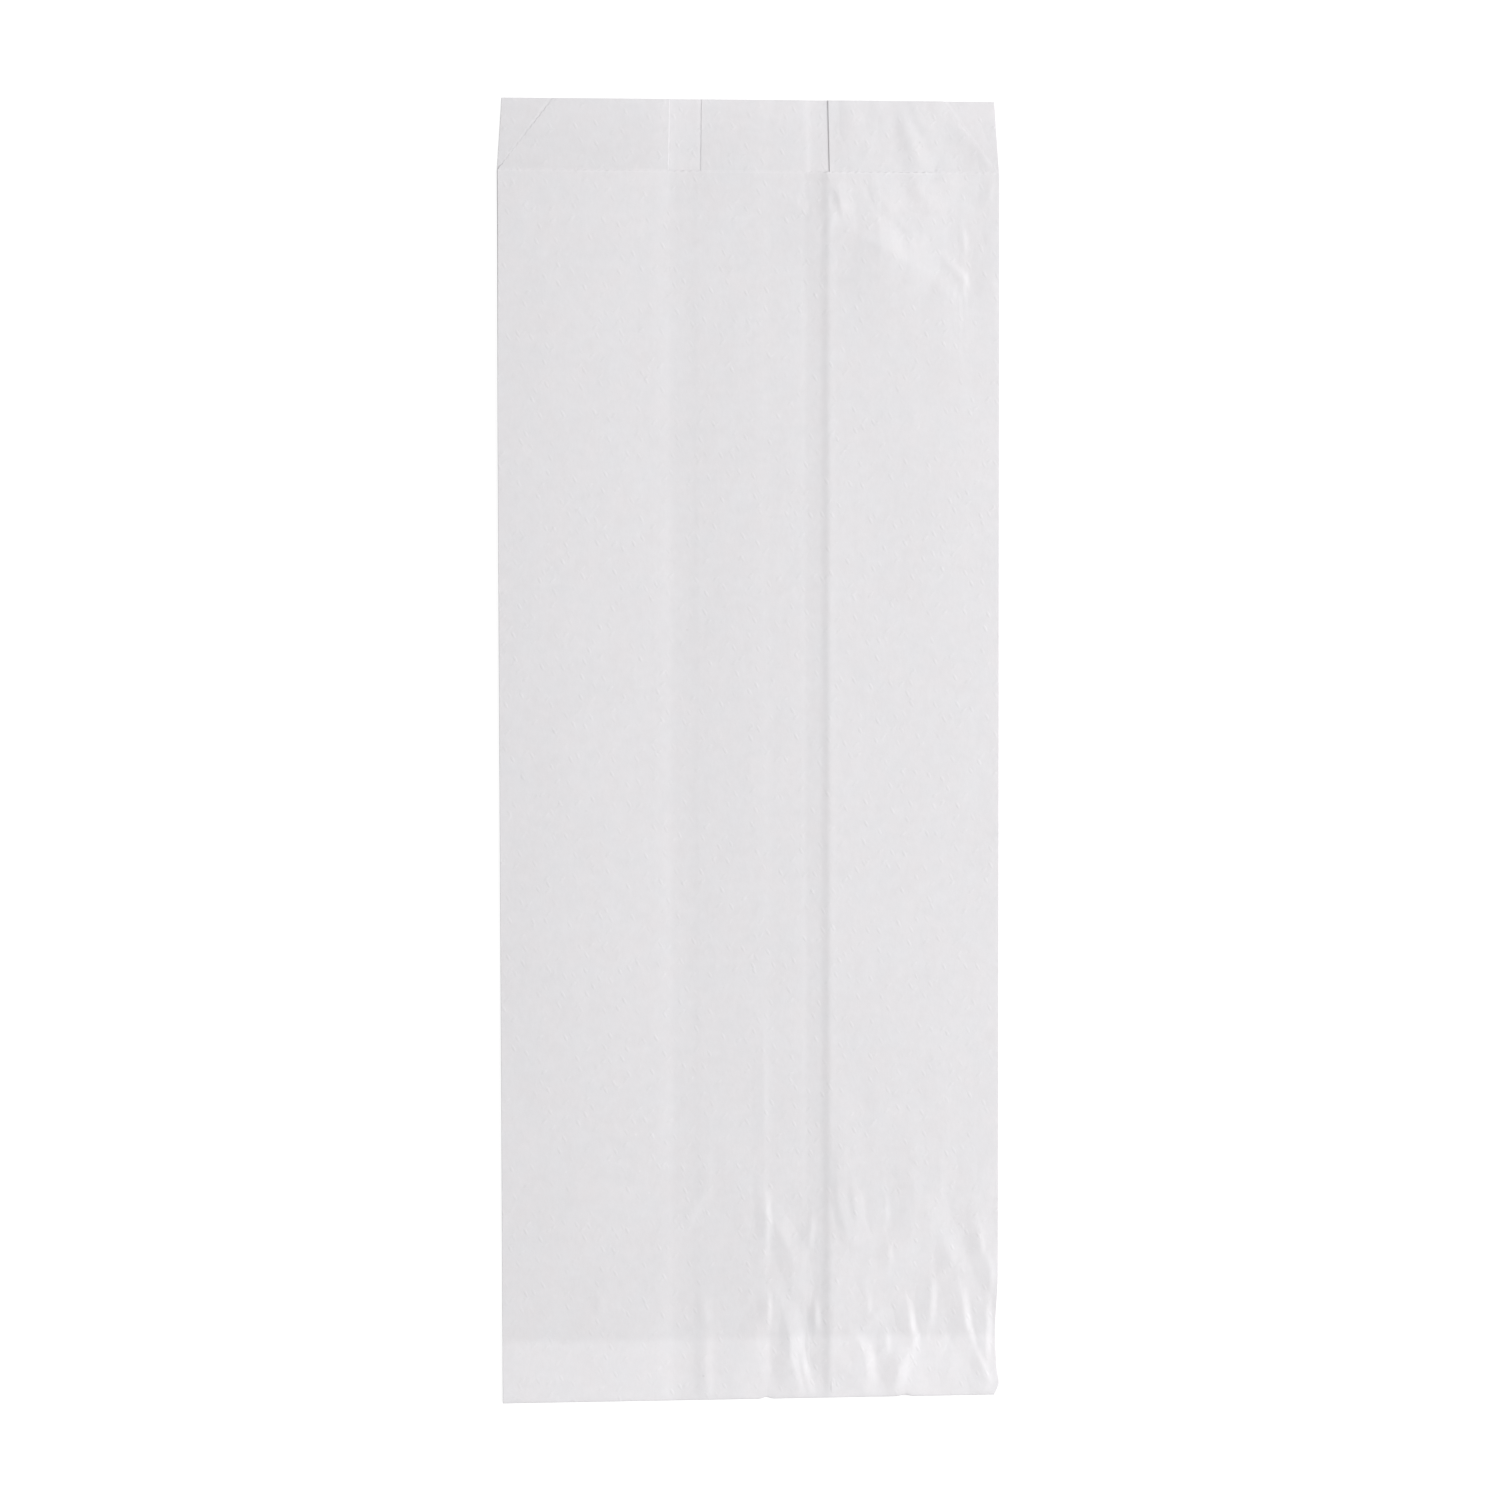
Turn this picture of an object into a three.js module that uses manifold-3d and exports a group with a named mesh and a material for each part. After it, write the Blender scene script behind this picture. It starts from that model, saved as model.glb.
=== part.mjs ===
// A flat paper sandwich bag with a gusset in each side, lying on its back with the mouth toward +Y.
// It is one sheet of thin paper: cut with a toothed blade, folded to a gusseted tube, lapped and
// glued along the back, and folded over and glued at the bottom. It lies pressed flat: the mouth is
// open, and stands sprung by only about a millimetre.
// Millimetres. X runs across the bag, Y along it, Z up from the surface that it lies on.
// The origin is the middle of the bag's box, on that surface.

import * as THREE from "three";
import { mergeVertices } from "three/addons/utils/BufferGeometryUtils.js";
import Module from "manifold-3d";

// The bag's outside sizes
const FACE_WIDTH = 120;
const BACK_LENGTH = 312;
const LIP_LENGTH = 17; // how far the back stands past the front at the mouth
const GUSSET_DEPTH = 40.8; // from the side edge in to the gusset's inner fold
const MOUTH_SPRING = 1; // how far the mouth stands open past the pressed plies
const LIP_TAPER = 1.2; // how far each side of the lip draws in toward its top edge

// The paper and its folds
const PAPER = 0.08;
const FOLD_GAP = 0.12; // clear gap between two plies at a pressed fold
const FOLD_STEPS = 6;

// The lap down the back: the sheet's right edge lies inside the left one
const INNER_LAP_EDGE_X = -11.5;
const OUTER_LAP_EDGE_X = 13;
const LAP_GAP = 0.1; // clear gap between the two laps
const LAP_RAMP_START = 0.8; // how far past the outer lap's edge the inner lap stays up
const LAP_RAMP_LENGTH = 3; // the length that it then comes down over
const LAP_EDGE_LIFT = 0.15; // how far the unglued inner edge stands up
const GLUE_WIDTH = 10;
const GLUE_END_INSET = 1.5; // the glue stops this far below the top edge

// The bottom, folded over onto the back and glued
const FLAP_LENGTH = 15;
const FLAP_THICKNESS = 0.4; // the four plies pressed and glued
const BOND_LENGTH = 4; // how far up the plies are bonded inside the bag
const HEM_COVER = 0.03; // what the bonded bottom adds outside the plies
const FLAP_RAMP_LENGTH = 15; // the back comes down from the flap to the surface over this length
const BITE = 0.025; // how deep glued pieces reach into each other

// The toothed cut at the mouth
const DIAGONAL_WIDTH = 12.5; // how far in from the side edge the front gusset ply is cut slanting
const TOOTH_PITCH = 1.8;
const TOOTH_DEPTH = 0.35;
const TOOTH_ROOM = 1.2; // plain sheet below the front's cut

// The mesh steps along the bag
const RAMP_ROWS = 4;
const BODY_ROWS = 16;
const HEM_STEPS = 8;
const SAME_POINT = 1e-5; // vertices closer than this are one

const PAPER_COLOUR = 0xe3e2e4;
const PAPER_ROUGHNESS = 0.6;

const foldRadius = (PAPER + FOLD_GAP) / 2;
const foldReach = foldRadius + PAPER / 2; // from the end of a straight panel to its fold's edge
const sideFoldX = FACE_WIDTH / 2 - HEM_COVER - foldReach;
const gussetPanel = GUSSET_DEPTH - 2 * foldReach;
const bottomY = -BACK_LENGTH / 2;
const backTopY = BACK_LENGTH / 2;
const frontTopY = backTopY - LIP_LENGTH;
const flapTopY = bottomY + FLAP_LENGTH;
const bondTopY = bottomY + BOND_LENGTH;
const pressedStack = 6 * foldRadius; // from the back ply to the front ply where all is pressed
const backOnFlap = FLAP_THICKNESS - BITE + PAPER / 2;
const hemHeight = backOnFlap + pressedStack + PAPER / 2 + HEM_COVER;
const sheetStartY = bottomY + hemHeight;

function smooth(value, from, to) {
  const share = THREE.MathUtils.clamp((value - from) / (to - from), 0, 1);
  return share * share * (3 - 2 * share);
}

// How far the side folds stand apart past the pressed plies: nothing at the bottom, most at the mouth.
function springAt(y) {
  const share = THREE.MathUtils.clamp((y - bondTopY) / (frontTopY - bondTopY), 0, 1);
  return MOUTH_SPRING * (1 - (1 - share) ** 2);
}

// The height of the back ply's middle: on the flap at the bottom, then down on the surface.
function backHeightAt(y) {
  const down = smooth(y, flapTopY, flapTopY + FLAP_RAMP_LENGTH);
  return THREE.MathUtils.lerp(backOnFlap, PAPER / 2, down);
}

// Walks the middle of the sheet in the XZ plane and notes a node at each end of a straight panel
// and at each step round a fold. A node keeps its heading, the top edge of the sheet there, and
// whether that edge is toothed.
function walk(start, moves) {
  let { x, z, heading } = start;
  const nodes = [start];
  for (const move of moves) {
    const steps = move.turn ? FOLD_STEPS : 1;
    for (let i = 0; i < steps; i++) {
      if (move.turn) {
        const next = heading + move.turn / FOLD_STEPS;
        const radius = foldRadius * Math.sign(move.turn);
        x += radius * (Math.sin(next) - Math.sin(heading));
        z += radius * (Math.cos(heading) - Math.cos(next));
        heading = next;
      } else {
        x += move.length * Math.cos(heading);
        z += move.length * Math.sin(heading);
      }
      nodes.push({ x, z, heading, top: move.top, toothed: Boolean(move.toothed) });
    }
  }
  return nodes;
}

// One side of the folded sheet's section, from the middle of the front, round the side fold, in and
// out of the gusset and round onto the back.
function sideSection(y) {
  const spring = springAt(y);
  const slope = Math.asin(spring / (2 * gussetPanel));
  const front = backHeightAt(y) + foldRadius * (2 + 4 * Math.cos(slope)) + spring;
  return walk({ x: 0, z: front, heading: 0, top: frontTopY, toothed: true }, [
    { length: sideFoldX, top: frontTopY, toothed: true },
    { turn: slope - Math.PI, top: frontTopY, toothed: true },
    { length: DIAGONAL_WIDTH, top: backTopY, toothed: true },
    { length: gussetPanel - DIAGONAL_WIDTH, top: backTopY },
    { turn: Math.PI - 2 * slope, top: backTopY },
    { length: gussetPanel, top: backTopY },
    { turn: slope - Math.PI, top: backTopY },
  ]);
}

// The inner lap, from the right side of the back: up over the outer lap's edge, along the glue,
// and on to the free edge inside the bag.
function innerLap(y) {
  const lift = PAPER + LAP_GAP;
  const rampFoot = OUTER_LAP_EDGE_X + LAP_RAMP_START + LAP_RAMP_LENGTH;
  const steps = [
    [rampFoot, 0],
    [rampFoot - LAP_RAMP_LENGTH, lift],
    [OUTER_LAP_EDGE_X - GLUE_WIDTH, lift],
    [INNER_LAP_EDGE_X, lift + LAP_EDGE_LIFT],
  ];
  return steps.map(([x, rise]) => backNode(x, backHeightAt(y) + rise));
}

function outerLap(y) {
  return [backNode(-OUTER_LAP_EDGE_X, backHeightAt(y))];
}

function backNode(x, z) {
  return { x, z, heading: -Math.PI, top: backTopY, toothed: false };
}

// The whole section, from the inner lap's edge over the right side, the front and the left side to
// the outer lap's edge. out is the direction away from the bag's inside.
function section(y) {
  const taper = LIP_TAPER * THREE.MathUtils.clamp((y - frontTopY) / LIP_LENGTH, 0, 1);
  const narrow = 1 - taper / (FACE_WIDTH / 2);
  const place = (node, side) => ({
    point: new THREE.Vector3(side * node.x * narrow, y, node.z),
    out: new THREE.Vector3(-side * Math.sin(node.heading), 0, Math.cos(node.heading)),
    top: node.top,
    toothed: node.toothed,
  });
  const right = [...sideSection(y), ...innerLap(y)].map((node) => place(node, 1));
  const left = [...sideSection(y), ...outerLap(y)].map((node) => place(node, -1));
  return [...right.reverse(), ...left.slice(1)];
}

// The two faces of the sheet at a share of the way from one column of the section to the next.
function facesAt(column, share, y) {
  const columns = section(y);
  const from = columns[column];
  const to = columns[Math.min(column + 1, columns.length - 1)];
  const middle = from.point.clone().lerp(to.point, share);
  const half = from.out.clone().lerp(to.out, share).setLength(PAPER / 2);
  return { outer: middle.clone().add(half), inner: middle.clone().sub(half) };
}

function evenly(from, to, count) {
  return Array.from({ length: count }, (_, i) => from + ((to - from) * (i + 1)) / count);
}

const rows = [
  sheetStartY,
  bondTopY,
  flapTopY,
  ...evenly(flapTopY, flapTopY + FLAP_RAMP_LENGTH, RAMP_ROWS),
  ...evenly(flapTopY + FLAP_RAMP_LENGTH, frontTopY - TOOTH_ROOM, BODY_ROWS),
];

// The teeth between two points of a cut edge, as shares of the way along it and heights above it.
function teeth(length) {
  const count = Math.round(length / TOOTH_PITCH);
  const points = [];
  for (let i = 0; i < count; i++) {
    points.push({ share: (i + 0.5) / count, rise: TOOTH_DEPTH });
    if (i < count - 1) {
      points.push({ share: (i + 1) / count, rise: 0 });
    }
  }
  return points;
}

// A closed solid from a sheet's triangles, given anticlockwise as seen from outside the bag, with
// the outer and inner point of each vertex.
function thicken(triangles, faces) {
  const count = faces.length;
  const index = [];
  const edges = new Set();
  for (const [a, b, c] of triangles) {
    index.push(a, b, c, a + count, c + count, b + count);
    edges.add(`${a} ${b}`).add(`${b} ${c}`).add(`${c} ${a}`);
  }
  for (const edge of edges) {
    const [p, q] = edge.split(" ").map(Number);
    if (!edges.has(`${q} ${p}`)) {
      index.push(q, p, p + count, q, p + count, q + count);
    }
  }
  const points = [...faces.map((face) => face.outer), ...faces.map((face) => face.inner)];
  const geometry = new THREE.BufferGeometry().setFromPoints(points);
  geometry.setIndex(index);
  return geometry;
}

// The two triangles of a cell with these four corners, in order round it.
function cell(a, b, c, d) {
  return [
    [a, b, c],
    [a, c, d],
  ];
}

// The folded sheet, as rows of cells with the cut edge above them.
function foldedSheet() {
  const faces = [];
  const add = (column, share, y) => faces.push(facesAt(column, share, y)) - 1;
  const columns = section(frontTopY);
  const grid = columns.map((_, column) => rows.map((y) => add(column, 0, y)));
  const tops = columns.map(({ top }, column) => add(column, 0, top));
  const triangles = [];
  for (let column = 0; column < columns.length - 1; column++) {
    const [here, next] = [grid[column], grid[column + 1]];
    for (let row = 0; row < rows.length - 1; row++) {
      triangles.push(...cell(here[row], here[row + 1], next[row + 1], next[row]));
    }
    triangles.push(...cutEdge(column));
  }
  return thicken(triangles, faces);

  function cutEdge(column) {
    const from = columns[column];
    const to = columns[column + 1];
    const width = from.point.distanceTo(to.point);
    const lastRow = rows[rows.length - 1];
    const corner = (share, y, vertex) => ({ at: new THREE.Vector2(share * width, y), vertex });
    const outline = [
      corner(0, lastRow, grid[column].at(-1)),
      corner(0, from.top, tops[column]),
    ];
    if (from.toothed && to.toothed) {
      for (const { share, rise } of teeth(Math.hypot(width, to.top - from.top))) {
        const y = THREE.MathUtils.lerp(from.top, to.top, share) + rise;
        outline.push(corner(share, y, add(column, share, y)));
      }
    }
    outline.push(corner(1, to.top, tops[column + 1]));
    outline.push(corner(1, lastRow, grid[column + 1].at(-1)));
    const flat = outline.map(({ at }) => at);
    return THREE.ShapeUtils.triangulateShape(flat, []).map(([a, b, c]) => {
      const turnsLeft = flat[b].clone().sub(flat[a]).cross(flat[c].clone().sub(flat[a])) > 0;
      const order = turnsLeft ? [a, c, b] : [a, b, c];
      return order.map((i) => outline[i].vertex);
    });
  }
}

// The glue between the two laps, reaching a little into each.
function lapGlue() {
  const ys = [...rows, backTopY - GLUE_END_INSET];
  const faces = [];
  for (const x of [OUTER_LAP_EDGE_X - BITE, OUTER_LAP_EDGE_X - GLUE_WIDTH]) {
    for (const y of ys) {
      const low = backHeightAt(y) + PAPER / 2 - BITE;
      const high = low + LAP_GAP + 2 * BITE;
      faces.push({ outer: new THREE.Vector3(x, y, high), inner: new THREE.Vector3(x, y, low) });
    }
  }
  const triangles = [];
  for (let row = 0; row < ys.length - 1; row++) {
    const other = row + ys.length;
    triangles.push(...cell(row, row + 1, other + 1, other));
  }
  return thicken(triangles, faces);
}

// The bottom: the plies bonded together, turned round the bottom edge and laid under the back.
function hem() {
  const round = hemHeight / 2;
  const profile = new THREE.Shape();
  profile.moveTo(flapTopY, 0);
  profile.lineTo(flapTopY, FLAP_THICKNESS);
  profile.lineTo(bondTopY, FLAP_THICKNESS);
  profile.lineTo(bondTopY, hemHeight);
  profile.lineTo(bottomY + round, hemHeight);
  profile.absarc(bottomY + round, round, round, Math.PI / 2, (3 * Math.PI) / 2, false);
  const geometry = new THREE.ExtrudeGeometry(profile, {
    depth: FACE_WIDTH,
    bevelEnabled: false,
    curveSegments: HEM_STEPS,
  });
  const [x, y, z] = [new THREE.Vector3(1, 0, 0), new THREE.Vector3(0, 1, 0), new THREE.Vector3(0, 0, 1)];
  geometry.applyMatrix4(new THREE.Matrix4().makeBasis(y, z, x));
  return geometry.translate(-FACE_WIDTH / 2, 0, 0);
}

const wasm = await Module();
wasm.setup();

function solid(geometry) {
  geometry.deleteAttribute("normal");
  geometry.deleteAttribute("uv");
  const merged = mergeVertices(geometry, SAME_POINT);
  return new wasm.Manifold(
    new wasm.Mesh({
      numProp: 3,
      vertProperties: new Float32Array(merged.attributes.position.array),
      triVerts: new Uint32Array(merged.index.array),
    }),
  );
}

function geometryOf(manifold) {
  const mesh = manifold.getMesh();
  const geometry = new THREE.BufferGeometry();
  geometry.setAttribute("position", new THREE.BufferAttribute(mesh.vertProperties, 3));
  geometry.setIndex(new THREE.BufferAttribute(mesh.triVerts, 1));
  geometry.computeVertexNormals();
  return geometry;
}

const paper = new THREE.MeshStandardMaterial({
  color: PAPER_COLOUR,
  roughness: PAPER_ROUGHNESS,
  metalness: 0,
});
paper.name = "bag_paper";

const bag = new THREE.Mesh(
  geometryOf(solid(foldedSheet()).add(solid(lapGlue())).add(solid(hem()))),
  paper,
);
bag.name = "paper_bag";

const model = new THREE.Group();
model.add(bag);

export default model;
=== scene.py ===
"""A flat white paper sandwich bag with side gussets, lying on its back on a pale floor.

The bag is one folded sheet. It is drawn here as one closed mesh of the paper's true thickness: the
section across the bag is walked from lap to lap, and carried along the bag from the end of the
flap under the bottom, round the bottom fold, and up to the toothed cut of the mouth.
"""

import math

import bpy
import numpy as np
from mathutils import Matrix, Vector


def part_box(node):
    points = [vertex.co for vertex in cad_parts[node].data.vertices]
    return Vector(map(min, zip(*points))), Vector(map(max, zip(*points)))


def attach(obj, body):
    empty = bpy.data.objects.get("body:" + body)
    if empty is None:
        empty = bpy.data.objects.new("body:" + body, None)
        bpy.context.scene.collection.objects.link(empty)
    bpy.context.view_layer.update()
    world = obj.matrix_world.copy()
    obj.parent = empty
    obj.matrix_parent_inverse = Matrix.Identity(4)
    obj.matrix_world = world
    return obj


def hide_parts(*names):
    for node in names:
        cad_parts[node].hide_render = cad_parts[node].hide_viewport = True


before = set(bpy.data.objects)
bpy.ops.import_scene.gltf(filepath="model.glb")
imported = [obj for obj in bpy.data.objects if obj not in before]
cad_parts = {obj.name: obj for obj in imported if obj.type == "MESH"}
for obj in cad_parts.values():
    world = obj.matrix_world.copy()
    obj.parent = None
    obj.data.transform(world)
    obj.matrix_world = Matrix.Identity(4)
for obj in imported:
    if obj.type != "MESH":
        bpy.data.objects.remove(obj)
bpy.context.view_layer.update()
MM = 0.001

# The bag's sizes in millimetres, the outside ones from the frame
BAG_LOW, BAG_HIGH = [np.array(corner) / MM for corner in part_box("paper_bag")]
FACE_WIDTH = BAG_HIGH[0] - BAG_LOW[0]
BOTTOM_Y = BAG_LOW[1]
BACK_TOP_Y = BAG_HIGH[1]
LIP_LENGTH = 17.0
FRONT_TOP_Y = BACK_TOP_Y - LIP_LENGTH
GUSSET_DEPTH = 40.8
LIP_TAPER = 1.2
PAPER = 0.08
FOLD_GAP = 0.03
FOLD_RADIUS = (PAPER + FOLD_GAP) / 2
FOLD_REACH = FOLD_RADIUS + PAPER / 2
SIDE_FOLD_X = FACE_WIDTH / 2 - FOLD_REACH
GUSSET_PANEL = GUSSET_DEPTH - 2 * FOLD_REACH
GUSSET_FOLD_X = FACE_WIDTH / 2 - GUSSET_DEPTH
PRESSED_STACK = 6 * FOLD_RADIUS
MOUTH_SPRING = 0.25 * (BAG_HIGH[2] - PRESSED_STACK - PAPER)  # the creases take up the rest
DIAGONAL_WIDTH = 12.5

# The laps of the back seam
INNER_LAP_EDGE_X = -11.5
OUTER_LAP_EDGE_X = 13.0
GLUE_WIDTH = 10.0
LAP_LIFT = PAPER + 0.015
LAP_RAMP = (13.4, 15.2)
LAP_EDGE_LIFT = 0.01

# The bottom, turned under the back
FLAP_LENGTH = 15.0
FLAP_PRESS = 0.53  # the plies lie this much closer in the glued flap
TURN_RADIUS = 0.06  # of the innermost ply round the bottom edge
FLAP_STACK = PRESSED_STACK * FLAP_PRESS
TURN_Z = TURN_RADIUS + FLAP_STACK + PAPER / 2
TURN_Y = BOTTOM_Y + TURN_RADIUS + PRESSED_STACK + PAPER / 2
FLAP_TOP_Y = BOTTOM_Y + FLAP_LENGTH
FLAP_RAMP_LENGTH = 15.0

# Toothed cuts
TOOTH_PITCH = 1.8
TOOTH_DEPTH = 0.32

# Mesh steps: columns to a tooth on each half of the front, and rows along the bag
RIGHT_TOOTH_COLUMNS = 4
LEFT_TOOTH_COLUMNS = 2
RIGHT_GUSSET_COLUMNS = 30
LEFT_GUSSET_COLUMNS = 8
INNER_GUSSET_COLUMNS = 5
FOLD_STEPS = 4
FOLD_GUARD = 0.05  # a column this near each fold keeps the panel's shading flat
FINE_ROW = 1.0  # where the creases are, and PLAIN_ROW between them
PLAIN_ROW = 9.0
LOW_CREASES_LENGTH = 52  # from the bottom
HIGH_CREASES_LENGTH = 30  # down from the front's cut
TURN_STEPS = 7


def smooth(value, low, high):
    share = np.clip((value - low) / (high - low), 0, 1)
    return share * share * (3 - 2 * share)


def mix(low, high, share):
    return low + (high - low) * share


def tooth_wave(turns):
    """The toothed cut, from -0.5 to 0.5 and back over one turn."""
    return 0.5 - abs(2 * (turns % 1) - 1)


# The section across the bag


class Section:
    """One half of the section, from the middle of the front to the lap.

    Each column has its place in the sheet's middle, from the back ply up, and the way out of the
    bag there. The columns don't depend on the spring.
    """

    def __init__(self, lap_columns, lap_rise, tooth_columns, gusset_columns):
        self.lap_columns = lap_columns
        self.lap_rise = lap_rise
        self.tooth_columns = tooth_columns
        self.gusset_columns = gusset_columns
        self.nodes = []

    def note(self, x, a, heading, top, tooth):
        self.nodes.append((x, a, -math.sin(heading), math.cos(heading), top, tooth))

    def straight(self, length, steps, top_from, top_to, tooth_columns=0):
        x, a = self.at
        guard = FOLD_GUARD / length
        for share in sorted([guard, 1 - guard, *(i / steps for i in range(1, steps + 1))]):
            far = length * share
            self.at = (x + far * math.cos(self.heading), a + far * math.sin(self.heading))
            tooth = 0.0
            if tooth_columns:
                tooth = TOOTH_DEPTH * tooth_wave(share * steps / tooth_columns)
            self.note(*self.at, self.heading, mix(top_from, top_to, share), tooth)

    def turn(self, angle, top):
        radius = math.copysign(FOLD_RADIUS, angle)
        for _ in range(FOLD_STEPS):
            after = self.heading + angle / FOLD_STEPS
            x = self.at[0] + radius * (math.sin(after) - math.sin(self.heading))
            a = self.at[1] + radius * (math.cos(self.heading) - math.cos(after))
            self.at, self.heading = (x, a), after
            self.note(x, a, after, top, 0.0)

    def walk(self, spring):
        """Rows of x, a, nx, na, the height of the sheet's cut there, and its tooth."""
        self.nodes = []
        slope = math.asin(spring / (2 * GUSSET_PANEL))
        front = FOLD_RADIUS * (2 + 4 * math.cos(slope)) + spring
        self.at, self.heading = (0.0, front), 0.0
        per_tooth = self.tooth_columns
        self.note(0.0, front, 0.0, FRONT_TOP_Y, TOOTH_DEPTH * tooth_wave(0))
        steps = round(SIDE_FOLD_X / TOOTH_PITCH * per_tooth)
        self.straight(SIDE_FOLD_X, steps, FRONT_TOP_Y, FRONT_TOP_Y, per_tooth)
        self.turn(slope - math.pi, FRONT_TOP_Y)
        teeth = round(math.hypot(DIAGONAL_WIDTH, LIP_LENGTH) / TOOTH_PITCH)
        self.straight(DIAGONAL_WIDTH, 2 * teeth, FRONT_TOP_Y, BACK_TOP_Y, 2)
        rest = GUSSET_PANEL - DIAGONAL_WIDTH
        self.straight(rest, self.gusset_columns, BACK_TOP_Y, BACK_TOP_Y)
        self.turn(math.pi - 2 * slope, BACK_TOP_Y)
        self.straight(GUSSET_PANEL, INNER_GUSSET_COLUMNS, BACK_TOP_Y, BACK_TOP_Y)
        self.turn(slope - math.pi, BACK_TOP_Y)
        for x in self.lap_columns:
            self.note(x, self.lap_rise(x), -math.pi, BACK_TOP_Y, 0.0)
        return np.array(self.nodes).T


def inner_lap_rise(x):
    """How high the inner lap lies over the outer one, up a ramp past the outer lap's edge."""
    on = LAP_LIFT * (1 - smooth(x, *LAP_RAMP))
    loose = smooth(-x, GLUE_WIDTH - OUTER_LAP_EDGE_X, -INNER_LAP_EDGE_X)
    return float(on + LAP_EDGE_LIFT * loose)


def flat_lap_rise(x):
    return 0.0


RIGHT = Section(
    lap_columns=[57, 50, 43, 36, 30, 25, 21, 18, 16, 15.2, 14.9, 14.6, 14.3, 14, 13.7, 13.4, 13, 11]
    + [8, 5, 3, 0, -3, -6, -8, -10, -11, INNER_LAP_EDGE_X],
    lap_rise=inner_lap_rise,
    tooth_columns=RIGHT_TOOTH_COLUMNS,
    gusset_columns=RIGHT_GUSSET_COLUMNS,
)
LEFT = Section(
    lap_columns=[57, 50, 43, 36, 30, 25, 21, 18, 15, 12, 9, 6, 3, 0, -3, -6, -9, -11, -12.4]
    + [-OUTER_LAP_EDGE_X],
    lap_rise=flat_lap_rise,
    tooth_columns=LEFT_TOOTH_COLUMNS,
    gusset_columns=LEFT_GUSSET_COLUMNS,
)


def whole_section(spring):
    """The section from the inner lap's edge over the right side, the front and the left side to the
    outer lap's edge."""
    right, left = RIGHT.walk(spring), LEFT.walk(spring)
    left[0] *= -1
    left[2] *= -1
    return np.concatenate([right[:, ::-1], left[:, 1:]], axis=1)


# The way along the bag


def spring_at(y):
    share = np.clip((y - TURN_Y) / (FRONT_TOP_Y - TURN_Y), 0, 1)
    return MOUTH_SPRING * (1 - (1 - share) ** 2)


def back_height_at(y):
    ramp_share = smooth(y, FLAP_TOP_Y, FLAP_TOP_Y + FLAP_RAMP_LENGTH)
    return mix(TURN_Z + TURN_RADIUS, PAPER / 2, ramp_share)


def steps_between(low, high, step):
    return np.linspace(low, high, max(2, round((high - low) / step) + 1))


def path_rows():
    """Each row's base point, the way that the plies stack there, and how close they lie."""
    rows = []
    for y in steps_between(FLAP_TOP_Y, TURN_Y, 3 * FINE_ROW)[:-1]:
        rows.append((y, TURN_Z - TURN_RADIUS, 0.0, -1.0, FLAP_PRESS))
    for i in range(TURN_STEPS + 1):
        angle = math.pi * (1 - i / TURN_STEPS)
        out_y, out_z = -math.sin(angle), math.cos(angle)
        press = mix(FLAP_PRESS, 1.0, i / TURN_STEPS)
        rows.append(
            (TURN_Y + TURN_RADIUS * out_y, TURN_Z + TURN_RADIUS * out_z, out_y, out_z, press)
        )
    fine_low, fine_high = BOTTOM_Y + LOW_CREASES_LENGTH, FRONT_TOP_Y - HIGH_CREASES_LENGTH
    heights = np.concatenate(
        [
            steps_between(TURN_Y, fine_low, FINE_ROW)[1:],
            steps_between(fine_low, fine_high, PLAIN_ROW)[1:],
            steps_between(fine_high, FRONT_TOP_Y - TOOTH_DEPTH, FINE_ROW)[1:],
            steps_between(FRONT_TOP_Y + TOOTH_DEPTH, BACK_TOP_Y + TOOTH_DEPTH, FINE_ROW),
        ]
    )
    for y in heights:
        rows.append((y, back_height_at(y), 0.0, 1.0, 1.0))
    return rows


# Wrinkles and waves, as heights over the smooth sheet
FACET_WIDTH, FACET_LENGTH, FACET_HEIGHT = 6.5, 10.0, 0.19
FACET_GRID = 64  # random heights each way, then they repeat
DIP_DEPTH = 0.15  # of the front between the gussets
SEAM_RISE, GLUE_RISE = 0.02, 0.015  # over the seam's laps and its glue
PRESS_FADE = 32.0  # the mouth's spring comes back over this width past the gussets' inner folds
PRESS_SHARE = 0.95
SIDE_BAND = 8.0  # of the sheet that moves with each side fold


def crease(x, y, points, height, left_width, right_width):
    """A sharp ridge along a line of points, with a flat facet down each side of it."""
    if points[0][1] > points[-1][1]:
        points = points[::-1]
    nearest = np.full_like(x, np.inf)
    best = np.zeros_like(x)
    spans = len(points) - 1
    for i in range(spans):
        (ax, ay), (bx, by) = points[i], points[i + 1]
        dx, dy = bx - ax, by - ay
        share = np.clip(((x - ax) * dx + (y - ay) * dy) / (dx * dx + dy * dy), 0, 1)
        off_x, off_y = x - ax - share * dx, y - ay - share * dy
        distance = np.hypot(off_x, off_y)
        width = np.where(off_x * dy - off_y * dx > 0, right_width, left_width)
        fade = np.sin(np.pi * np.clip((i + share) / spans, 0.05, 0.95)) ** 0.45
        ridge = np.clip(1 - distance / width, 0, 1) * fade
        best = np.where(distance < nearest, ridge, best)
        nearest = np.minimum(distance, nearest)
    return height * best


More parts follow.
